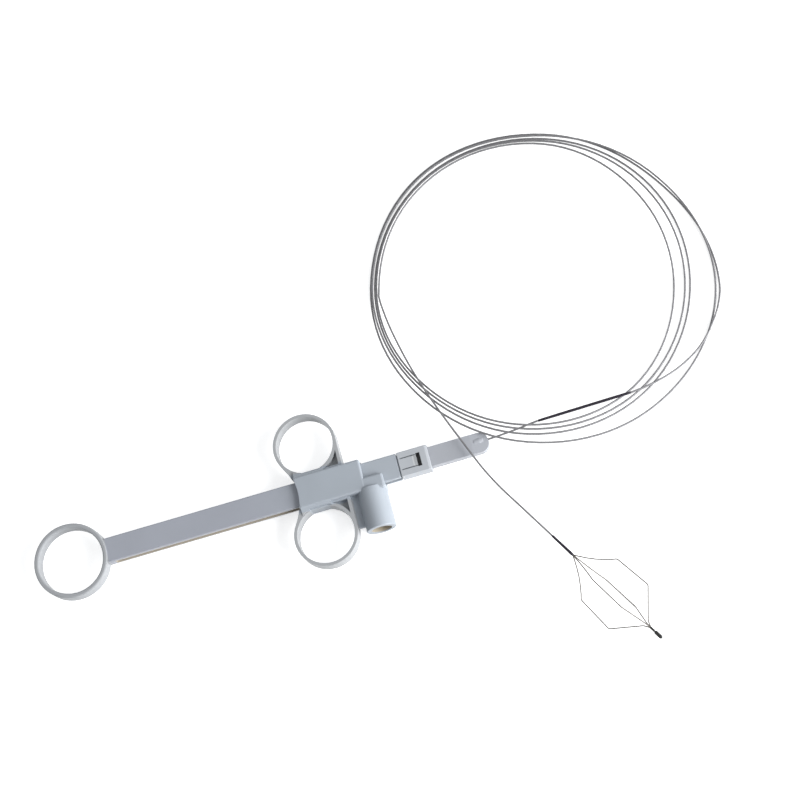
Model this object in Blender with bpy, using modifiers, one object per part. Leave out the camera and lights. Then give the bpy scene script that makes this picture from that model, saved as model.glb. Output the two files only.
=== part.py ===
"""Stone retrieval basket: three-ring handle, coiled sheath and a four-wire basket.

The handle lies along X with its thumb ring at -X and its nose at +X. The slider
with the two finger rings runs on the stem and pulls the basket into the sheath.
Units are metres, +Z is up, and the origin is under the middle of the handle.
"""
import math

import bmesh
import bpy
from mathutils import Matrix, Vector

# Clearances between neighbouring pieces
SEAT_GAP = 0.0003
RUN_GAP = 0.0003
FINE_GAP = 0.0001
PAST = 0.002

# Thumb ring, with its centre as the start of every station along the handle
THUMB_OUTER_R = 0.0166
THUMB_WALL = 0.0021
THUMB_DEPTH = 0.0068
THUMB_ROUND = 0.0006

# Port on the slider's side; its underside is what the handle lies on
PORT_OUTER_R = 0.0065
PORT_WALL = 0.0020
PORT_STATION = 0.1348
PORT_REACH = 0.0244
PORT_FLOOR = 0.0100
MID_Z = PORT_OUTER_R

# Stem: a bar with a slot along its -Y side, which holds the pull tube
STEM_WIDTH = 0.0110
STEM_THICK = 0.0058
STEM_ROUND = 0.0005
STEM_END = 0.1487
SLOT_HEIGHT = 0.0026
SLOT_START = 0.0195
SPIGOT_LENGTH = 0.0063
PULL_AXIS_Y = 0.0008

# Clip sleeve that latches the nose to the stem's spigot
CLIP_LENGTH = 0.0135
CLIP_WALL = 0.0008
CLIP_ROUND = 0.0003
CLIP_CHAMFER = 0.0012
CLIP_CHAMFER_DROP = 0.0004
TONGUE_WIDTH = 0.0045
TONGUE_ROOT = 0.0009
SLIT_WIDTH = 0.0005
WINDOW_LENGTH = 0.0017
WINDOW_WIDTH = 0.0060
WINDOW_TO_FRONT = 0.0037
HOOK_LENGTH = 0.0005
RAMP_LENGTH = 0.0018
RAMP_RISE = 0.0004

# Nose: the flat bar in front of the clip, which the sheath leaves
NOSE_TIP = 0.1887
NOSE_WIDTH = 0.0088
NOSE_THICK = 0.0042
NOSE_TIP_ROUND = 0.0040
NOSE_EDGE = 0.0005
NOSE_TAPER_LENGTH = 0.0077
NOSE_TAPER_DROP = 0.0006
NOSE_BORE_R = 0.0013
DOME_R = 0.0022
DOME_LENGTH = 0.0066
DOME_SETBACK = 0.0011
NOTCH_DEPTH = 0.0006

# Slider body and its two finger rings
SLIDER_REAR = 0.1030
SLIDER_FRONT = 0.1330
SLIDER_HALF_WIDTH = 0.0072
SLIDER_THICK = 0.0106
SLIDER_ROUND = 0.0009
SHOULDER_REACH = 0.0038
SHOULDER_INSET = 0.03
REAR_HOLLOW_R = 0.0240
REAR_HOLLOW_DEPTH = 0.0012
SADDLE_FRONT = 0.1413
SADDLE_TOP_Y = -0.0014
SADDLE_SIDE_Y = -0.0080
FINGER_STATION = 0.1114
FINGER_OUTER_R = 0.0139
FINGER_WALL = 0.00135
FINGER_DEPTH = 0.0072
FINGER_ROUND = 0.0004
FINGER_FLAT_CUT = 0.0006
NECK_ANGLE = math.radians(213)
NECK_STATION = 0.1027
NECK_Y = 0.0066
WEB_THICK = 0.0016
POCKET_LAND = 0.0008
RIB_THICK = 0.0016
RIB_END_Y = 0.0216

# Wire clamp in the slider and the tube and cable that it pulls
CLAMP_LENGTH = 0.0056
CLAMP_HEIGHT = 0.0020
CLAMP_WALL = 0.0004
SCREW_R = 0.0006
SCREW_HEAD_R = 0.0018
SCREW_HEAD_THICK = 0.0016
SCREW_DRIVE_R = 0.0009
SCREW_DRIVE_DEPTH = 0.0008
PULL_TUBE_R = 0.00065
PULL_TUBE_REAR = 0.1300
PULL_TUBE_FRONT = 0.1545
PULL_TUBE_SOCKET = 0.0060
CABLE_R = 0.00022
CABLE_INTO_ANCHOR = 0.0003

# Bush, seal and anchor inside the nose
BUSH_LENGTH = 0.0040
SEAL_RING_R = 0.00045
SEAL_TO_BUSH = 0.0080
ANCHOR_LENGTH = 0.0058
ANCHOR_BORE_R = 0.00040
SHEATH_INSERT = 0.0046

# Sheath: a thin coiled steel tube
SHEATH_R = 0.00045
SHEATH_BORE_R = 0.00034
BOOT_R = 0.00075
BOOT_BORE_R = 0.00055
DISTAL_SLEEVE_R = 0.00075
DISTAL_SLEEVE_BORE_R = 0.00055
DISTAL_SLEEVE_LENGTH = 0.0120
SHEATH_END_LENGTH = 0.0465

# Basket: four wires with two bends each, between a cable hub and a tip
BASKET_AZIMUTH = math.radians(-59.5)
MOUTH_X = 0.1240
MOUTH_Y = -0.0593
WIRE_R = 0.00014
WIRE_COUNT = 4
WIRE_TURN = math.radians(-15)
WIRE_ROOT_R = 0.00022
REAR_BEND_AT = 0.0150
REAR_BEND_R = 0.0114
FRONT_BEND_AT = 0.0314
FRONT_BEND_R = 0.0124
NECKING_AT = 0.0412
NECKING_R = 0.0014
WIRE_END_AT = 0.0434
ROOT_CURVE = 0.0007
BEND_SOFTENING = 0.0006
HUB_R = 0.00028
HUB_LENGTH = 0.0020
STUB_LENGTH = 0.0015
TIP_CRIMP_R = 0.00055
TIP_CRIMP_LENGTH = 0.0026
TIP_CAP_R = 0.00080
TIP_CAP_LENGTH = 0.0040

# Coil: a turn has eight radii, chosen by hand from the first azimuth on
COIL_CENTRE = (0.1382, 0.0630)
COIL_FIRST_AZIMUTH = math.radians(-18)
COIL_TURNS = (
    (0.0818, 0.0736, 0.0736, 0.0756, 0.0718, 0.0688, 0.0714, 0.0762),
    (0.0799, 0.0746, 0.0725, 0.0744, 0.0709, 0.0666, 0.0680, 0.0690),
    (0.0690, 0.0701, 0.0714, 0.0730, 0.0699, 0.0653, 0.0658, 0.0668),
    (0.0668, 0.0676, 0.0699, 0.0720, 0.0690, 0.0640, 0.0640, 0.0640),
    (0.0621, 0.0630, 0.0680, 0.0702, 0.0676, 0.0635, 0.0635, 0.0635),
)
COIL_LAYERS = (0.0, 0.0012, 0.0, 0.0012, 0.0024)
COIL_STATIONS = 72
COIL_CREST_AZIMUTH = math.radians(236)
COIL_CREST_RISE = 0.0092
COIL_RISE_BEFORE = math.radians(84)
COIL_RISE_AFTER = math.radians(80)
COIL_STACK_FROM = math.radians(-20)
COIL_STACK_FULL = math.radians(15)
COIL_UNSTACK_FROM = math.radians(168)
COIL_UNSTACKED = math.radians(204)

# Routes of the two uncoiled stretches of the sheath
LEAD_IN_ROUTE = (
    (0.0985, 0.0008, 0.00650),
    (0.1030, 0.0008, 0.00650),
    (0.1075, 0.0010, 0.00640),
    (0.1125, 0.0014, 0.00615),
    (0.1180, 0.0020, 0.00580),
    (0.1244, 0.0028, 0.00545),
    (0.1673, 0.0037, 0.00455),
    (0.1745, 0.0046, 0.00415),
    (0.1812, 0.0062, 0.00345),
    (0.1885, 0.0087, 0.00265),
    (0.1950, 0.0120, 0.00215),
    (0.2002, 0.0154, 0.00205),
    (0.2046, 0.0194, 0.00205),
)
BOOT_FIRST_POINT = 5
LEAD_OUT_ROUTE = (
    (0.0738, 0.0647, 0.00560),
    (0.0749, 0.0580, 0.00610),
    (0.0761, 0.0520, 0.00670),
    (0.0774, 0.0460, 0.00730),
    (0.0789, 0.0400, 0.00800),
    (0.0806, 0.0340, 0.00880),
    (0.0824, 0.0280, 0.00970),
    (0.0844, 0.0220, 0.01050),
    (0.0865, 0.0160, 0.01100),
    (0.0887, 0.0100, 0.01120),
    (0.0910, 0.0040, 0.01130),
    (0.0933, -0.0020, 0.01140),
    (0.0956, -0.0080, 0.01160),
    (0.0980, -0.0138, 0.01190),
)
ROUTE_STEP = 0.0030

# Places worked out from the sizes above
THUMB_X = -(NOSE_TIP - THUMB_OUTER_R) / 2
WIRE_AXIS_Z = FRONT_BEND_R * math.cos(WIRE_TURN) + WIRE_R
PULL_AXIS_Z = MID_Z
FINGER_INNER_R = FINGER_OUTER_R - FINGER_WALL
FINGER_FLAT_Y = SLIDER_HALF_WIDTH + FINGER_WALL
FINGER_OFFSET_Y = FINGER_FLAT_Y + FINGER_INNER_R - FINGER_FLAT_CUT
POCKET_EDGE_Y = SLIDER_HALF_WIDTH + POCKET_LAND
AXIS = Vector((math.cos(BASKET_AZIMUTH), math.sin(BASKET_AZIMUTH), 0))
MOUTH = Vector((MOUTH_X, MOUTH_Y, WIRE_AXIS_Z))

PLASTIC_SHADE = (0.36, 0.41, 0.47)
NOSE_SHADE = (0.40, 0.44, 0.49)

for old in list(bpy.data.objects):
    bpy.data.objects.remove(old, do_unlink=True)
parts = bpy.data.collections.new("stone_retrieval_basket")
tools = bpy.data.collections.new("cutters")
bpy.context.scene.collection.children.link(parts)
bpy.context.scene.collection.children.link(tools)


def station(s):
    """X of a place that lies s in front of the thumb ring's centre."""
    return THUMB_X + s


def material(name, colour, roughness, metallic=0.0):
    made = bpy.data.materials.new(name)
    made.use_nodes = True
    shader = made.node_tree.nodes["Principled BSDF"]
    shader.inputs["Base Color"].default_value = (*colour, 1)
    shader.inputs["Roughness"].default_value = roughness
    shader.inputs["Metallic"].default_value = metallic
    return made


def place(obj, collection):
    """Moves an object to one collection."""
    for holder in list(obj.users_collection):
        holder.objects.unlink(obj)
    collection.objects.link(obj)
    if collection is tools:
        obj.hide_render = True
        obj.display_type = "WIRE"
    return obj


def finish(obj, name, finish_material):
    """Names a part, gives it its material and smooths its round faces."""
    obj.name = name
    obj.data.materials.clear()
    obj.data.materials.append(finish_material)
    obj.data.shade_smooth()
    obj.data.set_sharp_from_angle(angle=math.radians(35))
    return place(obj, parts)


def box(low, high):
    """A box between two corners, with its scale applied."""
    size = [b - a for a, b in zip(low, high)]
    centre = [(a + b) / 2 for a, b in zip(low, high)]
    bpy.ops.mesh.primitive_cube_add(size=1, location=centre)
    made = bpy.context.active_object
    made.data.transform(Matrix.Diagonal((*size, 1)))
    return made


def cylinder(start, end, radius, sides=48):
    """A cylinder between two points."""
    start = Vector(start)
    end = Vector(end)
    along = end - start
    bpy.ops.mesh.primitive_cylinder_add(
        vertices=sides, radius=radius, depth=along.length
    )
    made = bpy.context.active_object
    turn = Vector((0, 0, 1)).rotation_difference(along).to_matrix().to_4x4()
    made.data.transform(Matrix.Translation((start + end) / 2) @ turn)
    return made


def as_mesh(curve_object):
    """The curve object's mesh as an object of its own, with its caps welded."""
    graph = bpy.context.evaluated_depsgraph_get()
    mesh = bpy.data.meshes.new_from_object(curve_object.evaluated_get(graph))
    work = bmesh.new()
    work.from_mesh(mesh)
    bmesh.ops.remove_doubles(work, verts=work.verts, dist=0.000001)
    work.to_mesh(mesh)
    work.free()
    made = bpy.data.objects.new("outline", mesh)
    made.matrix_world = curve_object.matrix_world
    bpy.context.scene.collection.objects.link(made)
    bpy.data.objects.remove(curve_object, do_unlink=True)
    return made


def plate(outline, z, thickness):
    """A flat outline, given as x and y, as a plate centred on height z."""
    curve = bpy.data.curves.new("outline", "CURVE")
    curve.dimensions = "2D"
    curve.fill_mode = "BOTH"
    curve.extrude = thickness / 2
    spline = curve.splines.new("POLY")
    spline.points.add(len(outline) - 1)
    for point, (x, y) in zip(spline.points, outline):
        point.co = (x, y, 0, 1)
    spline.use_cyclic_u = True
    made = bpy.data.objects.new("outline", curve)
    made.location.z = z
    bpy.context.scene.collection.objects.link(made)
    bpy.context.view_layer.update()
    return as_mesh(made)


def bevel(obj, width, segments=2, angle=40):
    rounding = obj.modifiers.new("rounded edges", "BEVEL")
    rounding.width = width
    rounding.segments = segments
    rounding.limit_method = "ANGLE"
    rounding.angle_limit = math.radians(angle)
    return obj


def combine(target, other, operation):
    """Joins, cuts or keeps what two solids share; the second is a tool."""
    place(other, tools)
    step = target.modifiers.new(operation.lower(), "BOOLEAN")
    step.operation = operation
    step.solver = "EXACT"
    step.object = other
    return target


def cut(target, *cutters):
    for cutter in cutters:
        combine(target, cutter, "DIFFERENCE")
    return target


def join(target, *others):
    for other in others:
        combine(target, other, "UNION")
    return target


def side_plate(outline, thickness):
    """A flat outline, given as x and z, as a plate centred on the XZ plane."""
    made = plate(outline, 0, thickness)
    made.data.transform(Matrix.Rotation(math.pi / 2, 4, "X"))
    return made


def turned(profile, origin, along, closed, sides=32):
    """A profile of radius and height, turned about an axis through origin.

    The points run down the outer side first. A closed profile leaves a bore.
    """
    mesh = bpy.data.meshes.new("profile")
    made = bpy.data.objects.new("profile", mesh)
    bpy.context.scene.collection.objects.link(made)
    edges = [(i, i + 1) for i in range(len(profile) - 1)]
    if closed:
        edges.append((len(profile) - 1, 0))
    mesh.from_pydata([(r, 0, h) for r, h in profile], edges, [])
    turn = made.modifiers.new("turn", "SCREW")
    turn.steps = sides
    turn.render_steps = sides
    turn.use_smooth_shade = True
    turn.use_merge_vertices = True
    turn.merge_threshold = 0.000001
    made.rotation_euler = (
        Vector((0, 0, 1)).rotation_difference(Vector(along)).to_euler()
    )
    made.location = origin
    return made


def pipe_profile(outer, inner, length):
    return [(outer, length), (outer, 0), (inner, 0), (inner, length)]


def cord(points, radius):
    """A round wire or tube along points, as a plain curve with closed ends."""
    curve = bpy.data.curves.new("wire", "CURVE")
    curve.dimensions = "3D"
    curve.bevel_depth = radius
    curve.bevel_resolution = 2
    curve.use_fill_caps = True
    spline = curve.splines.new("POLY")
    spline.points.add(len(points) - 1)
    for point, place_at in zip(spline.points, points):
        point.co = (*place_at, 1)
    made = bpy.data.objects.new("wire", curve)
    bpy.context.scene.collection.objects.link(made)
    return made


def finish_cord(obj, name, finish_material):
    obj.name = name
    obj.data.materials.append(finish_material)
    return place(obj, parts)


def smooth_route(route, step):
    """Points read every step along a Catmull-Rom curve through a route."""
    knots = [Vector(p) for p in route]
    before = knots[0] * 2 - knots[1]
    after = knots[-1] * 2 - knots[-2]
    knots = [before, *knots, after]
    points = []
    for a, b, c, d in zip(knots, knots[1:], knots[2:], knots[3:]):
        count = max(1, round((c - b).length / step))
        for i in range(count):
            t = i / count
            points.append(
                (b * 2 + (c - a) * t + (a * 2 - b * 5 + c * 4 - d) * t ** 2
                 + (b * 3 - a - c * 3 + d) * t ** 3) / 2
            )
    points.append(knots[-2])
    return points


def ease(t):
    """Zero to one with level ends, and held outside them."""
    t = min(1, max(0, t))
    return t * t * (3 - 2 * t)


def coil_floor(azimuth):
    """Height of a turn's centreline, which climbs over the nose."""
    off = (azimuth - COIL_CREST_AZIMUTH + math.pi) % math.tau - math.pi
    reach = COIL_RISE_BEFORE if off < 0 else COIL_RISE_AFTER
    return SHEATH_R + COIL_CREST_RISE * ease(1 - abs(off) / reach)


def coil_stack(azimuth):
    """Share of its layer's height that a turn has at an azimuth."""
    a = (azimuth - COIL_STACK_FROM) % math.tau + COIL_STACK_FROM
    climb = ease((a - COIL_STACK_FROM) / (COIL_STACK_FULL - COIL_STACK_FROM))
    drop = ease((a - COIL_UNSTACK_FROM) / (COIL_UNSTACKED - COIL_UNSTACK_FROM))
    return climb - drop


def coil_radius(turn, azimuth):
    """Radius of a turn, smoothed between its eight radii and the next turn's."""
    radii = [r for row in COIL_TURNS for r in row]
    radii += [COIL_TURNS[-1][-1]] * 3
    at = (azimuth - COIL_FIRST_AZIMUTH) / math.tau * 8 + turn * 8
    i = int(at)
    t = at - i
    a = radii[max(0, i - 1)]
    b, c, d = radii[i:i + 3]
    return (
        b * 2 + (c - a) * t + (a * 2 - b * 5 + c * 4 - d) * t ** 2
        + (b * 3 - a - c * 3 + d) * t ** 3
    ) / 2


def coil_section(index):
    """Inner and outer radius, bottom and top of the coil at a station."""
    azimuth = COIL_FIRST_AZIMUTH + index * math.tau / COIL_STATIONS
    radii = [coil_radius(turn, azimuth) for turn in range(len(COIL_TURNS))]
    floor = coil_floor(azimuth)
    top = floor + COIL_LAYERS[-1] * coil_stack(azimuth) + SHEATH_R
    return (
        azimuth, min(radii) - SHEATH_R, max(radii) + SHEATH_R,
        floor - SHEATH_R, top,
    )


blue_grey = material("handle_plastic", PLASTIC_SHADE, 0.42)
slider_grey = material("slider_plastic", PLASTIC_SHADE, 0.40)
nose_grey = material("nose_plastic", NOSE_SHADE, 0.40)
steel = material("steel", (0.52, 0.53, 0.55), 0.28, 1.0)
wire_steel = material("wire_steel", (0.60, 0.60, 0.60), 0.25, 1.0)
brass = material("brass", (0.55, 0.42, 0.20), 0.35, 1.0)
seal_rubber = material("seal_rubber", (0.03, 0.03, 0.03), 0.7)
dark_sleeve = material("dark_sleeve", (0.045, 0.040, 0.055), 0.45)
tip_steel = material("tip_steel", (0.10, 0.10, 0.10), 0.35, 1.0)


def make_handle_stem():
    """Thumb ring and stem in one moulding, with the pull tube's slot."""
    half = THUMB_DEPTH / 2
    inner = THUMB_OUTER_R - THUMB_WALL
    nick = THUMB_ROUND * 0.3
    ring = turned(
        [
            (THUMB_OUTER_R - THUMB_ROUND, half),
            (THUMB_OUTER_R - nick, half - nick),
            (THUMB_OUTER_R, half - THUMB_ROUND),
            (THUMB_OUTER_R, THUMB_ROUND - half),
            (THUMB_OUTER_R - nick, nick - half),
            (THUMB_OUTER_R - THUMB_ROUND, -half),
            (inner + THUMB_ROUND, -half),
            (inner + nick, nick - half),
            (inner, THUMB_ROUND - half),
            (inner, half - THUMB_ROUND),
            (inner + nick, half - nick),
            (inner + THUMB_ROUND, half),
        ],
        (station(0), 0, MID_Z), (0, 0, 1), closed=True, sides=72,
    )
    bar_start = station(THUMB_OUTER_R - THUMB_WALL + THUMB_ROUND / 4)
    bar = bevel(
        box(
            (bar_start, -STEM_WIDTH / 2, MID_Z - STEM_THICK / 2),
            (station(STEM_END), STEM_WIDTH / 2, MID_Z + STEM_THICK / 2),
        ),
        STEM_ROUND,
    )
    spigot = box(
        (
            station(STEM_END) - PAST,
            -(NOSE_WIDTH / 2),
            MID_Z - NOSE_THICK / 2,
        ),
        (
            station(STEM_END + SPIGOT_LENGTH),
            NOSE_WIDTH / 2,
            MID_Z + NOSE_THICK / 2,
        ),
    )
    slot = box(
        (station(SLOT_START), -STEM_WIDTH / 2 - PAST, MID_Z - SLOT_HEIGHT / 2),
        (
            station(STEM_END + SPIGOT_LENGTH) + PAST,
            slot_floor_y(),
            MID_Z + SLOT_HEIGHT / 2,
        ),
    )
    join(ring, bar, spigot)
    cut(ring, slot)
    return finish(ring, "handle_stem", blue_grey)


def slot_floor_y():
    """Floor of the stem's slot, past the clamp block on the pull tube."""
    return clamp_inner_y() + RUN_GAP


def clamp_inner_y():
    return PULL_AXIS_Y + PULL_TUBE_R + FINE_GAP + CLAMP_WALL


def clip_rear():
    return STEM_END + SEAT_GAP


def window_front():
    return clip_rear() + CLIP_LENGTH - WINDOW_TO_FRONT


def window_rear():
    return window_front() - WINDOW_LENGTH


def make_clip_sleeve():
    """Sleeve over the spigot, with a sprung tongue that hooks the nose."""
    half_y = NOSE_WIDTH / 2 + SEAT_GAP + CLIP_WALL
    half_z = NOSE_THICK / 2 + SEAT_GAP + CLIP_WALL
    rear = clip_rear()
    front = rear + CLIP_LENGTH
    top = MID_Z + half_z
    chamfer_x = station(front - CLIP_CHAMFER)
    lip_z = half_z - CLIP_CHAMFER_DROP
    sleeve = bevel(
        side_plate(
            [
                (station(rear), MID_Z - half_z),
                (chamfer_x, MID_Z - half_z),
                (station(front), MID_Z - lip_z),
                (station(front), MID_Z + lip_z),
                (chamfer_x, top),
                (station(rear), top),
            ],
            2 * half_y,
        ),
        CLIP_ROUND,
    )
    cavity = box(
        (
            station(rear) - PAST,
            -NOSE_WIDTH / 2 - SEAT_GAP,
            MID_Z - NOSE_THICK / 2 - SEAT_GAP,
        ),
        (
            station(front) + PAST,
            NOSE_WIDTH / 2 + SEAT_GAP,
            MID_Z + NOSE_THICK / 2 + SEAT_GAP,
        ),
    )
    wall_floor = MID_Z + NOSE_THICK / 2
    window = box(
        (station(window_rear()), -WINDOW_WIDTH / 2, wall_floor),
        (station(window_front()), WINDOW_WIDTH / 2, top + PAST),
    )
    slits = [
        box(
            (
                station(rear + TONGUE_ROOT),
                side * (TONGUE_WIDTH / 2 + SLIT_WIDTH / 2) - SLIT_WIDTH / 2,
                wall_floor,
            ),
            (
                station(window_rear()) + SLIT_WIDTH,
                side * (TONGUE_WIDTH / 2 + SLIT_WIDTH / 2) + SLIT_WIDTH / 2,
                top + PAST,
            ),
        )
        for side in (-1, 1)
    ]
    hook = box(
        (
            station(window_rear() - HOOK_LENGTH),
            -TONGUE_WIDTH / 2,
            MID_Z + NOSE_THICK / 2 - NOTCH_DEPTH / 2,
        ),
        (
            station(window_rear()),
            TONGUE_WIDTH / 2,
            MID_Z + NOSE_THICK / 2 + SEAT_GAP + CLIP_WALL / 2,
        ),
    )
    ramp_rear = station(window_rear() - RAMP_LENGTH)
    ramp_front = station(window_rear())
    ramp = side_plate(
        [
            (ramp_rear, top - CLIP_WALL / 4),
            (ramp_front, top - CLIP_WALL / 4),
            (ramp_front, top + RAMP_RISE),
        ],
        TONGUE_WIDTH - 2 * FINE_GAP,
    )
    cut(sleeve, cavity, window, *slits)
    join(sleeve, hook, ramp)
    return finish(sleeve, "clip_sleeve", blue_grey)


def nose_rear():
    return STEM_END + SPIGOT_LENGTH + SEAT_GAP


def anchor_rear():
    return NOSE_TIP - SHEATH_INSERT - FINE_GAP - ANCHOR_LENGTH


def make_nose():
    """Flat nose with a rounded tip, a domed exit and a bore for the sheath."""
    half = NOSE_WIDTH / 2
    r = NOSE_TIP_ROUND
    outline = [(station(nose_rear()), half), (station(nose_rear()), -half)]
    for side in (-1, 1):
        angles = range(-90, 1, 15) if side < 0 else range(0, 91, 15)
        for degrees in angles:
            a = math.radians(degrees)
            outline.append(
                (
                    station(NOSE_TIP - r) + r * math.cos(a),
                    side * (half - r) + r * math.sin(a),
                )
            )
    nose = bevel(plate(outline, MID_Z, NOSE_THICK), NOSE_EDGE, angle=50)
    dome = turned(
        [
            (0, DOME_LENGTH),
            (DOME_R * 0.55, DOME_LENGTH * 0.95),
            (DOME_R * 0.88, DOME_LENGTH * 0.80),
            (DOME_R, DOME_LENGTH * 0.60),
            (DOME_R, DOME_LENGTH * 0.25),
            (DOME_R * 0.80, DOME_LENGTH * 0.05),
            (DOME_R * 0.45, 0),
            (0, 0),
        ],
        (
            station(NOSE_TIP - DOME_SETBACK) - DOME_LENGTH,
            PULL_AXIS_Y, PULL_AXIS_Z,
        ),
        (1, 0, 0), closed=False,
    )
    taper_from = station(NOSE_TIP - NOSE_TAPER_LENGTH) - PAST
    taper_to = station(NOSE_TIP) + PAST
    spare = PAST * NOSE_TAPER_DROP / NOSE_TAPER_LENGTH
    low = NOSE_THICK / 2 - NOSE_TAPER_DROP - spare
    high = NOSE_THICK / 2 + spare
    wedges = [
        side_plate(
            [
                (taper_from, MID_Z + side * high),
                (taper_to, MID_Z + side * low),
                (taper_to, MID_Z + side * (high + PAST)),
                (taper_from, MID_Z + side * (high + PAST)),
            ],
            NOSE_WIDTH + 2 * PAST,
        )
        for side in (-1, 1)
    ]
    bore = cylinder(
        (station(nose_rear()) - PAST, PULL_AXIS_Y, PULL_AXIS_Z),
        (station(NOSE_TIP - SHEATH_INSERT), PULL_AXIS_Y, PULL_AXIS_Z),
        NOSE_BORE_R, sides=32,
    )
    exit_bore = cylinder(
        (station(NOSE_TIP - SHEATH_INSERT) - PAST, PULL_AXIS_Y, PULL_AXIS_Z),
        (station(NOSE_TIP) + PAST, PULL_AXIS_Y, PULL_AXIS_Z),
        SHEATH_R + FINE_GAP, sides=24,
    )
    notch = box(
        (
            station(window_rear() - HOOK_LENGTH) - SEAT_GAP,
            -TONGUE_WIDTH / 2 - SEAT_GAP,
            MID_Z + NOSE_THICK / 2 - NOTCH_DEPTH,
        ),
        (
            station(window_front()),
            TONGUE_WIDTH / 2 + SEAT_GAP,
            MID_Z + NOSE_THICK / 2 + PAST,
        ),
    )
    cut(nose, *wedges)
    join(nose, dome)
    cut(nose, bore, exit_bore, notch)
    return finish(nose, "nose", nose_grey)


def make_nose_inside():
    """Guide bush, seal ring and sheath anchor in the nose's bore."""
    outer = NOSE_BORE_R - FINE_GAP
    guide_at = nose_rear() + SEAT_GAP
    bush = turned(
        pipe_profile(outer, PULL_TUBE_R + FINE_GAP, BUSH_LENGTH),
        (station(guide_at), PULL_AXIS_Y, PULL_AXIS_Z), (1, 0, 0), closed=True,
    )
    finish(bush, "guide_bush", brass)
    bpy.ops.mesh.primitive_torus_add(
        major_radius=outer - SEAL_RING_R, minor_radius=SEAL_RING_R,
        major_segments=24, minor_segments=10,
        location=(
            station(guide_at + BUSH_LENGTH + SEAL_TO_BUSH),
            PULL_AXIS_Y, PULL_AXIS_Z,
        ),
        rotation=(0, math.pi / 2, 0),
    )
    finish(bpy.context.active_object, "seal_ring", seal_rubber)
    anchor = turned(
        pipe_profile(outer, ANCHOR_BORE_R, ANCHOR_LENGTH),
        (station(anchor_rear()), PULL_AXIS_Y, PULL_AXIS_Z),
        (1, 0, 0), closed=True,
    )
    finish(anchor, "sheath_anchor", steel)


def half_slider_outline():
    """Upper half of the flat outline of the rings, front edge to rear edge."""
    edge_x = FINGER_STATION + FINGER_OUTER_R
    points = [(edge_x, 0), (edge_x, FINGER_OFFSET_Y)]
    steps = 26
    for i in range(1, steps + 1):
        a = NECK_ANGLE * i / steps
        points.append(
            (
                FINGER_STATION + FINGER_OUTER_R * math.cos(a),
                FINGER_OFFSET_Y + FINGER_OUTER_R * math.sin(a),
            )
        )
    end = Vector(points[-1])
    neck = Vector((NECK_STATION, NECK_Y))
    leave = Vector((-math.sin(NECK_ANGLE), math.cos(NECK_ANGLE)))
    handle = end + leave * (end - neck).length / 2
    for t in (0.25, 0.5, 0.75, 1):
        curve = end * (1 - t) ** 2 + handle * 2 * t * (1 - t) + neck * t ** 2
        points.append(tuple(curve))
    points.append((SLIDER_REAR + REAR_HOLLOW_DEPTH / 2, 0))
    return points


def opening_outline(side, grow=0.0):
    """Round finger opening, flat where it meets the slider's body."""
    radius = FINGER_INNER_R + grow
    flat = math.asin((FINGER_OFFSET_Y - FINGER_FLAT_Y + grow) / radius)
    steps = 56
    sweep = math.pi + 2 * flat
    points = []
    for i in range(steps + 1):
        a = -flat + sweep * i / steps
        points.append(
            (
                station(FINGER_STATION) + radius * math.cos(a),
                side * (FINGER_OFFSET_Y + radius * math.sin(a)),
            )
        )
    return points


def pocket_outline(side):
    """Corner between the opening's rim, the front strap and the body."""
    low = FINGER_OFFSET_Y - POCKET_EDGE_Y
    first = -math.acos(FINGER_INNER_R / FINGER_OUTER_R)
    last = -math.asin(min(1, low / FINGER_OUTER_R))
    points = [
        (station(FINGER_STATION) + FINGER_INNER_R, side * POCKET_EDGE_Y)
    ]
    steps = 8
    for i in range(steps + 1):
        a = first + (last - first) * i / steps
        points.append(
            (
                station(FINGER_STATION) + FINGER_OUTER_R * math.cos(a),
                side * (FINGER_OFFSET_Y + FINGER_OUTER_R * math.sin(a)),
            )
        )
    return points


def make_shoulders(outline):
    """Slopes from the slider's flat faces down to the finger rings."""
    inner_y = SLIDER_HALF_WIDTH - SLIDER_ROUND
    outer_y = SLIDER_HALF_WIDTH + SHOULDER_REACH
    high = SLIDER_THICK / 2 - FINE_GAP
    low = FINGER_DEPTH / 2 - FINE_GAP
    rear_x = station(SLIDER_REAR + FINE_GAP) + REAR_HOLLOW_DEPTH / 2
    front_x = pocket_outline(1)[-1][0] - FINGER_ROUND - FINE_GAP
    slopes = plate(
        [
            (-outer_y, -low), (-inner_y, -high), (inner_y, -high),
            (outer_y, -low), (outer_y, low), (inner_y, high),
            (-inner_y, high), (-outer_y, low),
        ],
        0, front_x - rear_x,
    )
    middle = Vector(((front_x + rear_x) / 2, 0, MID_Z))
    stand_up = Matrix.Rotation(math.pi / 2, 4, "X")
    face_forward = Matrix.Rotation(math.pi / 2, 4, "Z")
    turn = Matrix.Translation(middle) @ face_forward @ stand_up
    slopes.data.transform(turn)
    within = plate(
        [
            (middle.x + (x - middle.x) * (1 - SHOULDER_INSET), y)
            for x, y in outline
        ],
        MID_Z, SLIDER_THICK + 2 * PAST,
    )
    combine(slopes, within, "INTERSECT")
    for side in (-1, 1):
        hole = opening_outline(side, FINGER_ROUND + FINE_GAP)
        cut(slopes, plate(hole, MID_Z, SLIDER_THICK + 2 * PAST))
    return slopes


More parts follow.
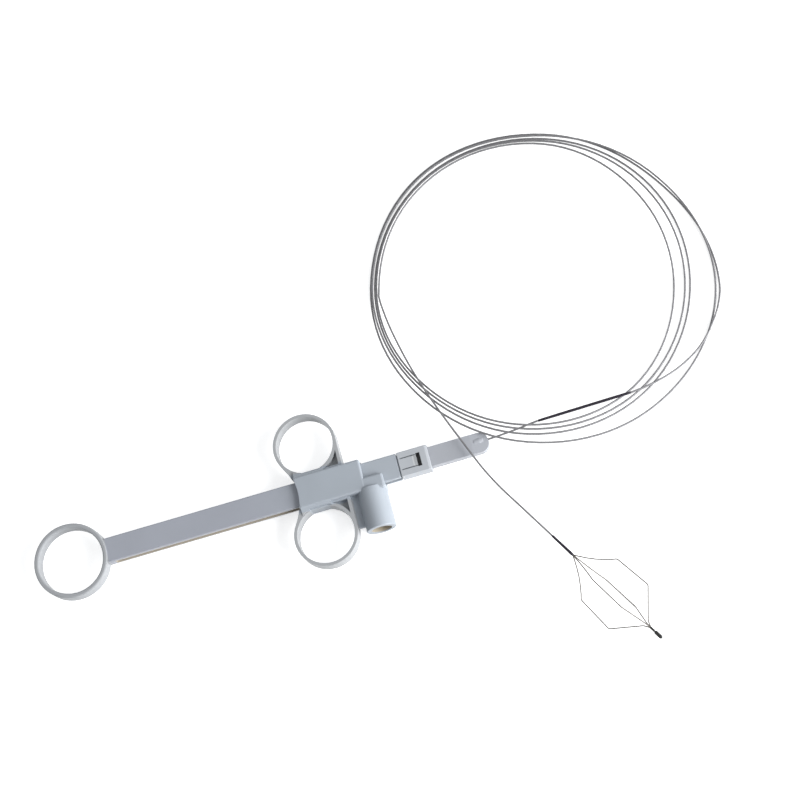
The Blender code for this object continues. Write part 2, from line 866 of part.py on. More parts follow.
def make_slider():
    """Slider, finger rings, side port and rib in one moulding."""
    half = SLIDER_THICK / 2
    upper = half_slider_outline()
    lower = [(x, -y) for x, y in reversed(upper[1:-1])]
    outline = [(station(x), y) for x, y in upper + lower]
    rings = plate(outline, MID_Z, FINGER_DEPTH)
    for side in (-1, 1):
        hole = plate(opening_outline(side), MID_Z, FINGER_DEPTH + 2 * PAST)
        cut(rings, hole)
        for face in (-1, 1):
            depth = (FINGER_DEPTH - WEB_THICK) / 2
            pocket = plate(
                pocket_outline(side),
                MID_Z + face * (WEB_THICK / 2 + (depth + PAST) / 2),
                depth + PAST,
            )
            cut(rings, pocket)
    bevel(rings, FINGER_ROUND, angle=60)
    body = bevel(
        box(
            (station(SLIDER_REAR), -SLIDER_HALF_WIDTH, MID_Z - half),
            (station(SLIDER_FRONT), SLIDER_HALF_WIDTH, MID_Z + half),
        ),
        SLIDER_ROUND, segments=3,
    )
    saddle = bevel(
        box(
            (
                station(SLIDER_FRONT) - 3 * SLIDER_ROUND,
                SADDLE_SIDE_Y, MID_Z - half + FINE_GAP,
            ),
            (station(SADDLE_FRONT), SADDLE_TOP_Y, MID_Z + half - FINE_GAP),
        ),
        SLIDER_ROUND,
    )
    rib_root_y = -SLIDER_HALF_WIDTH + SLIDER_ROUND
    port_root_y = rib_root_y + SEAT_GAP
    port = bevel(
        cylinder(
            (station(PORT_STATION), -PORT_REACH, MID_Z),
            (station(PORT_STATION), port_root_y, MID_Z),
            PORT_OUTER_R, sides=64,
        ),
        FINGER_ROUND,
    )
    rib = box(
        (
            station(FINGER_STATION + FINGER_OUTER_R - FINGER_WALL / 2),
            -RIB_END_Y, MID_Z - RIB_THICK / 2,
        ),
        (
            station(PORT_STATION - PORT_OUTER_R + PORT_WALL / 2),
            rib_root_y, MID_Z + RIB_THICK / 2,
        ),
    )
    join(rings, make_shoulders(outline), body, saddle, port, rib)
    channel = box(
        (
            station(SLIDER_REAR) - FINGER_OUTER_R,
            -STEM_WIDTH / 2 - RUN_GAP,
            MID_Z - STEM_THICK / 2 - RUN_GAP,
        ),
        (
            station(SADDLE_FRONT) + PAST,
            STEM_WIDTH / 2 + RUN_GAP,
            MID_Z + STEM_THICK / 2 + RUN_GAP,
        ),
    )
    port_bore = cylinder(
        (station(PORT_STATION), -PORT_REACH - PAST, MID_Z),
        (station(PORT_STATION), -PORT_FLOOR, MID_Z),
        PORT_OUTER_R - PORT_WALL, sides=48,
    )
    screw_hole = cylinder(
        (station(PORT_STATION), -PORT_FLOOR - PAST, MID_Z),
        (station(PORT_STATION), -STEM_WIDTH / 2, MID_Z),
        SCREW_R + FINE_GAP, sides=20,
    )
    cut(rings, rear_hollow(), channel, port_bore, screw_hole)
    return finish(rings, "slider", slider_grey)


def rear_hollow():
    """Cutter for the shallow hollow across the slider's rear end."""
    rear = station(SLIDER_REAR)
    points = []
    steps = 12
    for i in range(steps + 1):
        y = SLIDER_HALF_WIDTH * (2 * i / steps - 1)
        inset = math.sqrt(REAR_HOLLOW_R ** 2 - y ** 2) - REAR_HOLLOW_R
        points.append((rear + REAR_HOLLOW_DEPTH + inset, y))
    points.append((rear - PAST, SLIDER_HALF_WIDTH))
    points.append((rear - PAST, -SLIDER_HALF_WIDTH))
    return plate(points, MID_Z, SLIDER_THICK + 2 * PAST)


def make_pull_line():
    """Clamp block and screw in the slider, with the tube and cable they pull."""
    block = box(
        (
            station(PORT_STATION) - CLAMP_LENGTH / 2,
            -STEM_WIDTH / 2 + SEAT_GAP,
            MID_Z - CLAMP_HEIGHT / 2,
        ),
        (
            station(PORT_STATION) + CLAMP_LENGTH / 2,
            clamp_inner_y(),
            MID_Z + CLAMP_HEIGHT / 2,
        ),
    )
    tube_hole = cylinder(
        (station(PULL_TUBE_REAR) - PAST, PULL_AXIS_Y, PULL_AXIS_Z),
        (station(PULL_TUBE_FRONT), PULL_AXIS_Y, PULL_AXIS_Z),
        PULL_TUBE_R + FINE_GAP, sides=24,
    )
    tapped = cylinder(
        (station(PORT_STATION), -STEM_WIDTH, MID_Z),
        (station(PORT_STATION), PULL_AXIS_Y, MID_Z),
        SCREW_R + FINE_GAP, sides=20,
    )
    cut(block, tube_hole, tapped)
    finish(block, "clamp_block", brass)

    head_seat = PORT_FLOOR + FINE_GAP
    shank = PULL_TUBE_R + FINE_GAP - PULL_AXIS_Y
    screw = turned(
        [
            (0, head_seat + SCREW_HEAD_THICK - SCREW_DRIVE_DEPTH),
            (SCREW_DRIVE_R, head_seat + SCREW_HEAD_THICK - SCREW_DRIVE_DEPTH),
            (SCREW_DRIVE_R, head_seat + SCREW_HEAD_THICK),
            (SCREW_HEAD_R - FINE_GAP, head_seat + SCREW_HEAD_THICK),
            (SCREW_HEAD_R, head_seat + SCREW_HEAD_THICK * 0.6),
            (SCREW_HEAD_R, head_seat),
            (SCREW_R, head_seat),
            (SCREW_R, shank + SCREW_R / 2),
            (SCREW_R / 2, shank),
            (0, shank),
        ],
        (station(PORT_STATION), 0, MID_Z), (0, -1, 0), closed=False, sides=24,
    )
    finish(screw, "clamp_screw", steel)

    length = PULL_TUBE_FRONT - PULL_TUBE_REAR
    socket = length - PULL_TUBE_SOCKET
    bore = CABLE_R + FINE_GAP
    tube = turned(
        [
            (0, socket),
            (bore, socket),
            (bore, length),
            (PULL_TUBE_R, length),
            (PULL_TUBE_R, 0),
            (0, 0),
        ],
        (station(PULL_TUBE_REAR), PULL_AXIS_Y, PULL_AXIS_Z), (1, 0, 0),
        closed=False, sides=24,
    )
    finish(tube, "pull_tube", steel)
    cable = cord(
        [
            (station(PULL_TUBE_FRONT - PULL_TUBE_SOCKET) + SEAT_GAP,
             PULL_AXIS_Y, PULL_AXIS_Z),
            (station(anchor_rear() + CABLE_INTO_ANCHOR),
             PULL_AXIS_Y, PULL_AXIS_Z),
        ],
        CABLE_R,
    )
    finish_cord(cable, "drive_cable", wire_steel)


def make_sheath():
    """Sheath: lead-in, boot, coil, lead-out and the hollow straight end."""
    lead_in = cord(smooth_route(LEAD_IN_ROUTE, ROUTE_STEP), SHEATH_R)
    finish_cord(lead_in, "sheath_lead_in", steel)

    boot_start = Vector(LEAD_IN_ROUTE[BOOT_FIRST_POINT])
    boot_end = Vector(LEAD_IN_ROUTE[BOOT_FIRST_POINT + 1])
    along = boot_end - boot_start
    inset = BOOT_R
    boot = turned(
        [
            (BOOT_R * 0.8, along.length - inset),
            (BOOT_R, along.length - inset * 2),
            (BOOT_R, inset * 4),
            (BOOT_R * 0.8, inset),
            (BOOT_BORE_R, inset),
            (BOOT_BORE_R, along.length - inset),
        ],
        boot_start, along, closed=True, sides=20,
    )
    finish(boot, "sheath_boot", dark_sleeve)

    work = bmesh.new()
    rings = []
    for index in range(COIL_STATIONS):
        azimuth, inner, outer, bottom, top = coil_section(index)
        spoke = Vector((math.cos(azimuth), math.sin(azimuth), 0))
        middle = Vector((*COIL_CENTRE, 0))
        corners = [
            middle + spoke * r + Vector((0, 0, z))
            for r, z in (
                (outer, bottom), (outer, top), (inner, top), (inner, bottom)
            )
        ]
        rings.append([work.verts.new(c) for c in corners])
    for a, b in zip(rings, rings[1:] + rings[:1]):
        for i in range(4):
            j = (i + 1) % 4
            work.faces.new((a[i], b[i], b[j], a[j]))
    bmesh.ops.recalc_face_normals(work, faces=work.faces)
    mesh = bpy.data.meshes.new("coil")
    work.to_mesh(mesh)
    work.free()
    coil = bpy.data.objects.new("coil", mesh)
    bpy.context.scene.collection.objects.link(coil)
    finish(coil, "sheath_coil", steel)

    end_start = MOUTH - AXIS * SHEATH_END_LENGTH
    joint = end_start - AXIS * SEAT_GAP
    lead_out = cord(
        smooth_route((*LEAD_OUT_ROUTE, joint), ROUTE_STEP), SHEATH_R
    )
    finish_cord(lead_out, "sheath_lead_out", steel)

    end = turned(
        pipe_profile(SHEATH_R, SHEATH_BORE_R, SHEATH_END_LENGTH),
        end_start, AXIS, closed=True, sides=16,
    )
    finish(end, "sheath_end", steel)
    sleeve = turned(
        [
            (DISTAL_SLEEVE_R * 0.85, DISTAL_SLEEVE_LENGTH),
            (DISTAL_SLEEVE_R, DISTAL_SLEEVE_LENGTH - DISTAL_SLEEVE_R),
            (DISTAL_SLEEVE_R, DISTAL_SLEEVE_R * 4),
            (DISTAL_SLEEVE_R * 0.85, 0),
            (DISTAL_SLEEVE_BORE_R, 0),
            (DISTAL_SLEEVE_BORE_R, DISTAL_SLEEVE_LENGTH),
        ],
        MOUTH - AXIS * DISTAL_SLEEVE_LENGTH, AXIS, closed=True, sides=20,
    )
    finish(sleeve, "distal_sleeve", dark_sleeve)


def wire_profile():
    """Distance along the basket's axis and radius of a wire's points."""
    rear = Vector((REAR_BEND_AT, REAR_BEND_R))
    front = Vector((FRONT_BEND_AT, FRONT_BEND_R))
    root = Vector((WIRE_R, WIRE_ROOT_R))
    necking = Vector((NECKING_AT, NECKING_R))
    end = Vector((WIRE_END_AT, WIRE_ROOT_R))
    points = [root]
    for share in (0.12, 0.3, 0.5, 0.7, 0.88):
        bow = ROOT_CURVE * math.sin(math.pi * share)
        points.append(root.lerp(rear, share) + Vector((bow * 0.6, -bow)))
    for before, bend, after in (
        (root, rear, front), (rear, front, necking), (front, necking, end)
    ):
        points.append(bend + (before - bend).normalized() * BEND_SOFTENING)
        middle = (
            (before - bend).normalized() + (after - bend).normalized()
        ) * BEND_SOFTENING / 4
        points.append(bend + middle)
        points.append(bend + (after - bend).normalized() * BEND_SOFTENING)
    points.append(end)
    return points


def make_basket():
    """Hub with its cable stub, four bent wires, and the crimped tip."""
    hub = turned(
        [
            (0, 0),
            (HUB_R, -FINE_GAP),
            (HUB_R, -HUB_LENGTH),
            (CABLE_R, -HUB_LENGTH - FINE_GAP),
            (CABLE_R, -HUB_LENGTH - STUB_LENGTH),
            (0, -HUB_LENGTH - STUB_LENGTH),
        ],
        MOUTH, AXIS, closed=False, sides=20,
    )
    finish(hub, "basket_hub", steel)
    side = Vector((0, 0, 1)).cross(AXIS)
    for number in range(WIRE_COUNT):
        angle = WIRE_TURN + number * math.tau / WIRE_COUNT
        spoke = Vector((0, 0, 1)) * math.cos(angle) + side * math.sin(angle)
        points = [MOUTH + AXIS * p.x + spoke * p.y for p in wire_profile()]
        wire = cord(points, WIRE_R)
        finish_cord(wire, f"basket_wire_{number + 1}", wire_steel)

    crimp_at = WIRE_END_AT + FINE_GAP
    crimp = turned(
        [
            (0, TIP_CRIMP_LENGTH),
            (TIP_CRIMP_R * 0.6, TIP_CRIMP_LENGTH),
            (TIP_CRIMP_R, TIP_CRIMP_LENGTH * 0.85),
            (TIP_CRIMP_R * 0.86, TIP_CRIMP_LENGTH * 0.6),
            (TIP_CRIMP_R * 0.86, TIP_CRIMP_LENGTH * 0.4),
            (TIP_CRIMP_R, TIP_CRIMP_LENGTH * 0.2),
            (TIP_CRIMP_R * 0.8, 0),
            (0, 0),
        ],
        MOUTH + AXIS * crimp_at, AXIS, closed=False, sides=20,
    )
    finish(crimp, "tip_crimp", tip_steel)
    cap_at = crimp_at + TIP_CRIMP_LENGTH + FINE_GAP
    cap = turned(
        [
            (0, TIP_CAP_LENGTH),
            (TIP_CAP_R * 0.45, TIP_CAP_LENGTH - TIP_CAP_R * 0.12),
            (TIP_CAP_R * 0.82, TIP_CAP_LENGTH - TIP_CAP_R * 0.5),
            (TIP_CAP_R, TIP_CAP_LENGTH - TIP_CAP_R * 1.1),
            (TIP_CAP_R, TIP_CAP_R * 0.5),
            (TIP_CAP_R * 0.7, 0),
            (0, 0),
        ],
        MOUTH + AXIS * cap_at, AXIS, closed=False, sides=20,
    )
    finish(cap, "tip_cap", tip_steel)


make_handle_stem()
make_clip_sleeve()
make_nose()
make_nose_inside()
make_slider()
make_pull_line()
make_sheath()
make_basket()
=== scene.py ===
"""Looks of the stone retrieval basket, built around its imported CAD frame."""

import math

import bmesh
import bpy
from mathutils import Matrix, Vector


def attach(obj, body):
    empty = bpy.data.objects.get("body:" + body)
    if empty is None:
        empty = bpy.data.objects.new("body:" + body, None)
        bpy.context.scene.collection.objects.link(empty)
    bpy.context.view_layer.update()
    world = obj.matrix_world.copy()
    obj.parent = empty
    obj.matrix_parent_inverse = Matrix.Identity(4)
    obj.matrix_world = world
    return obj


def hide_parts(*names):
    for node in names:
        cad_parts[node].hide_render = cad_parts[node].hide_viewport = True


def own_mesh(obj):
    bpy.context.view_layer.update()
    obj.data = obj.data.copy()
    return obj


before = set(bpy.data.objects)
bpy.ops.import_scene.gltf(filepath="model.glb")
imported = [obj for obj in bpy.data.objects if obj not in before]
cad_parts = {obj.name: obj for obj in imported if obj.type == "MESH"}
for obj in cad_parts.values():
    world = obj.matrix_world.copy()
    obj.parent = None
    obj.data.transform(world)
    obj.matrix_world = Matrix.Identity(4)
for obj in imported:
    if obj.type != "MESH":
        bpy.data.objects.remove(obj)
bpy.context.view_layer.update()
scene = bpy.context.scene
scene.view_settings.view_transform = "Standard"

# Camera at the photograph's viewing angle
CAMERA_AT = (0.14288, -0.24228, 0.82211)
CAMERA_RIGHT = (0.95599231, -0.24217331, -0.16562243)
CAMERA_UP = (0.28106379, 0.91786303, 0.28023313)
CAMERA_BACK = (0.08415372, -0.31445118, 0.94553615)
CAMERA_SENSOR = 36
CAMERA_LENS = 89.56

# Light: a large low key from the right, even light from all round, and a
# floor that glows where it is seen, so that it stays white
MIDDLE = (0.05, 0, 0)
KEY_AT = (1.25, -0.55, 0.60)
KEY_SIZE = 1.2
KEY_POWER = 39
WORLD_COLOUR = (0.96, 0.98, 1.0)
WORLD_LIGHT = 0.42
FLOOR_SIZE = 12
FLOOR_COLOUR = (0.9, 0.9, 0.9)
FLOOR_ROUGHNESS = 0.9
FLOOR_SPECULAR = 0.1
FLOOR_GLOW = 0.62

# Colours of the plastics, and the light and shade painted on them
HANDLE_PLASTIC = (0.352, 0.370, 0.418)
STEM_FRONT_PLASTIC = (0.380, 0.415, 0.458)
THUMB_RING_PLASTIC = (0.365, 0.378, 0.395)
SLIDER_PLASTIC = (0.360, 0.396, 0.440)
FINGER_RING_PLASTIC = (0.380, 0.392, 0.405)
CLIP_PLASTIC = (0.445, 0.467, 0.498)
# Painted highlight on the clip's ramp, lighter as if it catches the light
RAMP_PAINTED_HIGHLIGHT = (0.56, 0.575, 0.59)
NOSE_PLASTIC = (0.402, 0.418, 0.455)
# Painted shade inside the port's bore, warmed by a painted reflection
PORT_PAINTED_WARM_REFLECTION = (0.42, 0.37, 0.29)
# Painted warm light and shade along the lips of the stem's slot
SLOT_LIPS_PAINTED_LIGHT = (0.47, 0.42, 0.34)
# Painted shade in the clip's window, as if the gap went deeper
WINDOW_PAINTED_SHADE = (0.045, 0.045, 0.050)

# Colours of the metals and the dark soft pieces
SHEATH_STEEL = (0.24, 0.24, 0.25)
BRIGHT_STEEL = (0.58, 0.58, 0.59)
WIRE_STEEL = (0.16, 0.15, 0.14)
DARK_STEEL = (0.05, 0.05, 0.05)
BRASS = (0.62, 0.48, 0.24)
DARK_SLEEVE = (0.014, 0.011, 0.020)
RUBBER = (0.02, 0.02, 0.02)

# Textures: the winding's pitch, the bands that a Wave texture of scale one
# has in a unit, the grain of drawn metal, and the part of a noise that turns
# into colour
MM_PER_M = 1000
WINDING_PITCH_MM = 0.25
WAVE_BANDS = 3.2
METAL_GRAIN = 2600
MOTTLE_RANGE = (0.3, 0.7)

# Places on the handle with a colour of their own or painted light and shade,
# after the part's sizes
MID_Z = 0.0065
HIGH_Z = 0.0300
STEM_HALF_WIDTH = 0.0055
STEM_FADE_X = (-0.0050, 0.0500)
SLOT_X = (-0.0670, 0.0400)
SLOT_HEIGHT = 0.0026
LIP_HEIGHT = 0.0005
LIP_DEPTH = 0.0007
PAST_STEM = 0.0010
PORT_X = 0.04875
PORT_BORE_R = 0.0045
PORT_BORE_Y = (-0.0240, -0.0100)
WINDOW_X = (0.07100, 0.07280)
WINDOW_HALF_WIDTH = 0.00305
WINDOW_Z = (0.0075, 0.0096)
RAMP_X = (0.0692, 0.07104)
RAMP_HALF_WIDTH = 0.00225
RING_FROM_Y = 0.0088
RING_TO_Y = 0.0380
FINGER_RING_X = (0.0110, 0.0396)
THUMB_RING_X = (-0.1030, -0.0696)

# Basket and the sheath's straight end, where the part's source has them
UP = Vector((0, 0, 1))
BASKET_AZIMUTH = math.radians(-59.5)
AXIS = Vector((math.cos(BASKET_AZIMUTH), math.sin(BASKET_AZIMUTH), 0))
MOUTH = Vector((0.1240, -0.0593, 0.01212))
STRAIGHT_LENGTH = 0.0465
STRAIGHT_KNOTS = (0.09, 0.35, 0.7)
SHEATH_SHORT_OF_MOUTH = 0.0010
WIRE_COUNT = 4
WIRE_TURN = math.radians(-15)

# A basket wire's knots: along the axis from the sheath's mouth, and off it.
# The wire is thicker than in the CAD, so that it shows.
WIRE_ROOT = Vector((-0.0012, 0.00020))
WIRE_AT_HUB = Vector((0.0002, 0.00024))
WIRE_REAR_BEND = Vector((0.0150, 0.0114))
WIRE_FRONT_BEND = Vector((0.0314, 0.01228))
WIRE_NECK = Vector((0.0412, 0.0014))
WIRE_END = Vector((0.0436, 0.00022))
BEND_SOFTNESS = 0.0006
BOW = Vector((0.00042, -0.0007))
BOW_SHARES = (0.12, 0.3, 0.5, 0.7, 0.88)
WIRE_R = 0.00025
WIRE_SIDES = 8

# The cable behind the basket's hub: its ends along the axis from the mouth
CABLE_TAIL = (-0.0078, -0.0030)
CABLE_R = 0.00025

# Sleeves on the sheath: each ring is a share of the length and of the radius
SLEEVE_R = 0.00064
SLEEVE_SIDES = 12
BOOT_KNOTS = slice(5, 7)
BOOT_RINGS = (
    (0.02, 0.78), (0.06, 0.90), (0.25, 1.0),
    (0.75, 1.0), (0.94, 0.90), (0.98, 0.78),
)
DISTAL_SLEEVE_LENGTH = 0.0120
DISTAL_RINGS = ((1, 0.78), (0.9, 0.84), (0.5, 0.94), (0.1, 1.0), (0, 0.82))

# The sheath, and its coil: a turn has eight radii, from the first azimuth on
SHEATH_R = 0.00045
SHEATH_SIDES = 8
SHEATH_STEP = 0.0035
COIL_CENTRE = Vector((0.1382, 0.0630, 0))
COIL_FIRST_AZIMUTH = math.radians(-18)
COIL_SWEEP = math.tau * 4 + math.radians(180)
COIL_STEP = math.radians(4)
COIL_TURNS = (
    (0.0818, 0.0736, 0.0736, 0.0756, 0.0718, 0.0688, 0.0714, 0.0762),
    (0.0799, 0.0746, 0.0725, 0.0744, 0.0709, 0.0666, 0.0680, 0.0690),
    (0.0690, 0.0701, 0.0714, 0.0730, 0.0699, 0.0653, 0.0658, 0.0668),
    (0.0668, 0.0676, 0.0699, 0.0720, 0.0690, 0.0640, 0.0640, 0.0640),
    (0.0621, 0.0630, 0.0680, 0.0702, 0.0676, 0.0635, 0.0635, 0.0635),
)
COIL_RADII_PER_TURN = len(COIL_TURNS[0])

# The coil's crest over the nose, and where its turns lie on one another
COIL_CREST_AZIMUTH = math.radians(236)
COIL_CREST_RISE = 0.0092
COIL_RISE_BEFORE = math.radians(84)
COIL_RISE_AFTER = math.radians(80)
COIL_LAYERS = (0.0, 0.0012, 0.0, 0.0012, 0.0024)
COIL_STACK_FROM = math.radians(-20)
COIL_STACK_FULL = math.radians(15)
COIL_UNSTACK_FROM = math.radians(168)
COIL_UNSTACKED = math.radians(204)

# Routes from the nose to the coil, and from the coil to the straight end
LEAD_IN_ROUTE = (
    (0.0985, 0.0008, 0.00650),
    (0.1030, 0.0008, 0.00650),
    (0.1075, 0.0010, 0.00640),
    (0.1125, 0.0014, 0.00615),
    (0.1180, 0.0020, 0.00580),
    (0.1244, 0.0028, 0.00545),
    (0.1673, 0.0037, 0.00455),
    (0.1745, 0.0046, 0.00415),
    (0.1812, 0.0062, 0.00345),
    (0.1885, 0.0087, 0.00265),
    (0.1950, 0.0120, 0.00215),
    (0.2002, 0.0154, 0.00205),
    (0.2046, 0.0194, 0.00205),
)
LEAD_IN_TO_COIL = ((0.2083, 0.0239, 0.00180), (0.2127, 0.0304, 0.00095))
COIL_TO_LEAD_OUT = ((0.0727, 0.0790, 0.00380), (0.0730, 0.0718, 0.00470))
LEAD_OUT_ROUTE = (
    (0.0738, 0.0647, 0.00560),
    (0.0749, 0.0580, 0.00610),
    (0.0761, 0.0520, 0.00670),
    (0.0774, 0.0460, 0.00730),
    (0.0789, 0.0400, 0.00800),
    (0.0806, 0.0340, 0.00880),
    (0.0824, 0.0280, 0.00970),
    (0.0844, 0.0220, 0.01050),
    (0.0865, 0.0160, 0.01100),
    (0.0887, 0.0100, 0.01120),
    (0.0910, 0.0040, 0.01130),
    (0.0933, -0.0020, 0.01140),
    (0.0956, -0.0080, 0.01160),
    (0.0980, -0.0138, 0.01190),
)


def add_camera():
    """The camera at the photograph's place."""
    data = bpy.data.cameras.new("camera")
    data.sensor_width = CAMERA_SENSOR
    data.lens = CAMERA_LENS
    camera = bpy.data.objects.new("camera", data)
    turn = Matrix((CAMERA_RIGHT, CAMERA_UP, CAMERA_BACK)).transposed()
    camera.matrix_world = (
        Matrix.Translation(CAMERA_AT) @ turn.normalized().to_4x4()
    )
    scene.collection.objects.link(camera)
    scene.camera = camera


def spline_through(knots, step):
    """Points read every step along a centripetal spline through the knots."""
    knots = [Vector(p) for p in knots]
    knots = [knots[0] * 2 - knots[1], *knots, knots[-1] * 2 - knots[-2]]
    points = []
    for a, b, c, d in zip(knots, knots[1:], knots[2:], knots[3:]):
        ta = math.sqrt((b - a).length)
        tb = math.sqrt((c - b).length)
        tc = math.sqrt((d - c).length)
        start = (b - a) / ta - (c - a) / (ta + tb) + (c - b) / tb
        end = (c - b) / tb - (d - b) / (tb + tc) + (d - c) / tc
        start *= tb
        end *= tb
        count = max(1, round((c - b).length / step))
        for i in range(count):
            t = i / count
            points.append(
                b * (1 - 3 * t ** 2 + 2 * t ** 3)
                + c * (3 * t ** 2 - 2 * t ** 3)
                + start * (t - 2 * t ** 2 + t ** 3)
                + end * (t ** 3 - t ** 2)
            )
    points.append(knots[-2])
    return points


def ease(t):
    """Zero to one with level ends, and held outside them."""
    t = min(1, max(0, t))
    return t * t * (3 - 2 * t)


def coil_floor(azimuth):
    """Height of a turn's centreline, which climbs over the nose."""
    off = (azimuth - COIL_CREST_AZIMUTH + math.pi) % math.tau - math.pi
    reach = COIL_RISE_BEFORE if off < 0 else COIL_RISE_AFTER
    return SHEATH_R + COIL_CREST_RISE * ease(1 - abs(off) / reach)


def coil_stack(azimuth):
    """Share of its layer's height that a turn has at an azimuth."""
    a = (azimuth - COIL_STACK_FROM) % math.tau + COIL_STACK_FROM
    climb = ease((a - COIL_STACK_FROM) / (COIL_STACK_FULL - COIL_STACK_FROM))
    drop = ease((a - COIL_UNSTACK_FROM) / (COIL_UNSTACKED - COIL_UNSTACK_FROM))
    return climb - drop


def coil_radius(sweep):
    """The coil's radius after a sweep, read smoothly between its radii."""
    radii = [r for row in COIL_TURNS for r in row]
    at = sweep / math.tau * COIL_RADII_PER_TURN
    i = int(at)
    t = at - i
    a = radii[max(0, i - 1)]
    b, c, d = radii[i:i + 3]
    return (
        b * 2 + (c - a) * t + (a * 2 - b * 5 + c * 4 - d) * t ** 2
        + (b * 3 - a - c * 3 + d) * t ** 3
    ) / 2


def coil_points():
    """The coil's centreline, from the lead-in to the innermost turn's end."""
    count = round(COIL_SWEEP / COIL_STEP)
    points = []
    for n in range(count + 1):
        sweep = COIL_SWEEP * n / count
        azimuth = COIL_FIRST_AZIMUTH + sweep
        r = coil_radius(sweep)
        turn = min(len(COIL_LAYERS) - 1, int(sweep / math.tau))
        z = coil_floor(azimuth) + COIL_LAYERS[turn] * coil_stack(azimuth)
        points.append(
            COIL_CENTRE
            + Vector((r * math.cos(azimuth), r * math.sin(azimuth), z))
        )
    return points


def sheath_points():
    """The whole sheath's centreline, from the nose to the basket's mouth."""
    start = MOUTH - AXIS * STRAIGHT_LENGTH
    end = MOUTH - AXIS * SHEATH_SHORT_OF_MOUTH
    knots = [
        *LEAD_IN_ROUTE, *LEAD_IN_TO_COIL, *coil_points(),
        *COIL_TO_LEAD_OUT, *LEAD_OUT_ROUTE,
        *[start.lerp(end, share) for share in STRAIGHT_KNOTS], end,
    ]
    return spline_through(knots, SHEATH_STEP)


def wire_profile():
    """Distance along the basket's axis and off it of a wire's points."""
    points = [WIRE_ROOT, WIRE_AT_HUB]
    for share in BOW_SHARES:
        points.append(
            WIRE_AT_HUB.lerp(WIRE_REAR_BEND, share)
            + BOW * math.sin(math.pi * share)
        )
    corners = (
        WIRE_ROOT, WIRE_REAR_BEND, WIRE_FRONT_BEND, WIRE_NECK, WIRE_END
    )
    for before, bend, after in zip(corners, corners[1:], corners[2:]):
        back = (before - bend).normalized()
        ahead = (after - bend).normalized()
        points.append(bend + back * BEND_SOFTNESS)
        points.append(bend + (back + ahead) * BEND_SOFTNESS / 4)
        points.append(bend + ahead * BEND_SOFTNESS)
    points.append(WIRE_END)
    return points


def tube(name, points, radii, sides):
    """A closed tube along points; U is the length along it in millimetres."""
    mesh = bpy.data.meshes.new(name)
    work = bmesh.new()
    uv = work.loops.layers.uv.new("along")
    rings = []
    lengths = [0.0]
    for a, b in zip(points, points[1:]):
        lengths.append(lengths[-1] + (b - a).length * MM_PER_M)
    normal = None
    for i, (p, radius) in enumerate(zip(points, radii)):
        before = points[max(0, i - 1)]
        after = points[min(len(points) - 1, i + 1)]
        tangent = (after - before).normalized()
        if normal is None:
            normal = tangent.orthogonal().normalized()
        normal = (normal - tangent * normal.dot(tangent)).normalized()
        other = tangent.cross(normal)
        rings.append([
            work.verts.new(
                p + (normal * math.cos(a) + other * math.sin(a)) * radius
            )
            for a in (math.tau * k / sides for k in range(sides))
        ])
    for i, (low, high) in enumerate(zip(rings, rings[1:])):
        for k in range(sides):
            j = (k + 1) % sides
            face = work.faces.new((low[k], low[j], high[j], high[k]))
            face.smooth = True
            corners = (
                (lengths[i], k), (lengths[i], k + 1),
                (lengths[i + 1], k + 1), (lengths[i + 1], k),
            )
            for loop, (u, v) in zip(face.loops, corners):
                loop[uv].uv = (u, v / sides)
    work.faces.new(list(reversed(rings[0])))
    work.faces.new(rings[-1])
    work.to_mesh(mesh)
    work.free()
    made = bpy.data.objects.new(name, mesh)
    scene.collection.objects.link(made)
    return made


